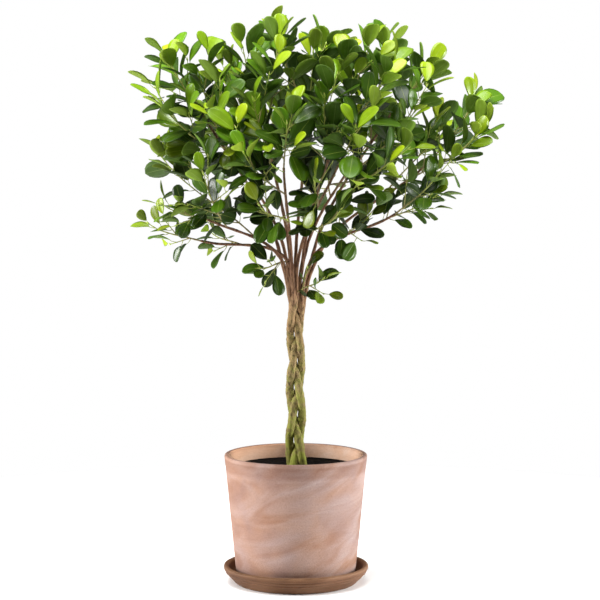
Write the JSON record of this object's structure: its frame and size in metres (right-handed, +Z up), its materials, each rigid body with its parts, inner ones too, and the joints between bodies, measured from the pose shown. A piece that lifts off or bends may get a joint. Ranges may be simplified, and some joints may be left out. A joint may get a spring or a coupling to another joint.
{
  "type": "potted braided fig tree",
  "caption": "Small-leaved fig grown as a standard, with a braided trunk and a rounded leafy crown, planted in a tapered terracotta pot that stands on a round saucer.",
  "frame": {"origin": "centre of the saucer's flat underside, which stands on the floor", "axes": "+Z up along the trunk, +X to the right and +Y away, as seen from the front"},
  "size_m": [0.6271, 0.5027, 0.9942],
  "materials": {
    "saucer_terracotta": "unglazed deep terracotta, matt",
    "pot_terracotta": "unglazed rosy terracotta with pale mineral bloom, matt",
    "potting_soil": "damp, nearly black potting soil",
    "mossy_bark": "living bark with a bloom of moss, matt",
    "brown_bark": "reddish brown living bark",
    "fig_leaf": "glossy green leaves on green twigs"
  },
  "bodies": {
    "root": {"saucer": "saucer_terracotta", "terracotta_pot": "pot_terracotta", "potting_soil": "potting_soil", "plaited_stem_1": "mossy_bark", "plaited_stem_2": "mossy_bark", "plaited_stem_3": "mossy_bark", "limb_low_left": "brown_bark", "limb_left": "brown_bark", "limb_front": "brown_bark", "limb_front_right": "brown_bark", "limb_upper_left": "brown_bark", "limb_top_left": "brown_bark", "limb_top": "brown_bark", "limb_back_left": "brown_bark", "limb_low_right": "brown_bark", "limb_right": "brown_bark", "limb_back_right": "brown_bark", "limb_upper_right": "brown_bark", "limb_top_right": "brown_bark", "leafy_shoot_01": "fig_leaf", "leafy_shoot_02": "fig_leaf", "leafy_shoot_03": "fig_leaf", "leafy_shoot_04": "fig_leaf", "leafy_shoot_05": "fig_leaf", "leafy_shoot_06": "fig_leaf", "leafy_shoot_07": "fig_leaf", "leafy_shoot_08": "fig_leaf", "leafy_shoot_09": "fig_leaf", "leafy_shoot_10": "fig_leaf", "leafy_shoot_11": "fig_leaf", "leafy_shoot_12": "fig_leaf", "leafy_shoot_13": "fig_leaf", "leafy_shoot_14": "fig_leaf", "leafy_shoot_15": "fig_leaf", "leafy_shoot_16": "fig_leaf", "leafy_shoot_17": "fig_leaf", "leafy_shoot_18": "fig_leaf", "leafy_shoot_19": "fig_leaf", "leafy_shoot_20": "fig_leaf", "leafy_shoot_21": "fig_leaf", "leafy_shoot_22": "fig_leaf", "leafy_shoot_23": "fig_leaf", "leafy_shoot_24": "fig_leaf", "leafy_shoot_25": "fig_leaf", "leafy_shoot_26": "fig_leaf", "leafy_shoot_27": "fig_leaf", "leafy_shoot_28": "fig_leaf", "leafy_shoot_29": "fig_leaf", "leafy_shoot_30": "fig_leaf", "leafy_shoot_31": "fig_leaf", "leafy_shoot_32": "fig_leaf", "leafy_shoot_33": "fig_leaf", "leafy_shoot_34": "fig_leaf", "leafy_shoot_35": "fig_leaf", "leafy_shoot_36": "fig_leaf", "leafy_shoot_37": "fig_leaf", "leafy_shoot_38": "fig_leaf", "leafy_shoot_39": "fig_leaf", "leafy_shoot_40": "fig_leaf", "leafy_shoot_41": "fig_leaf"}
  },
  "joints": []
}
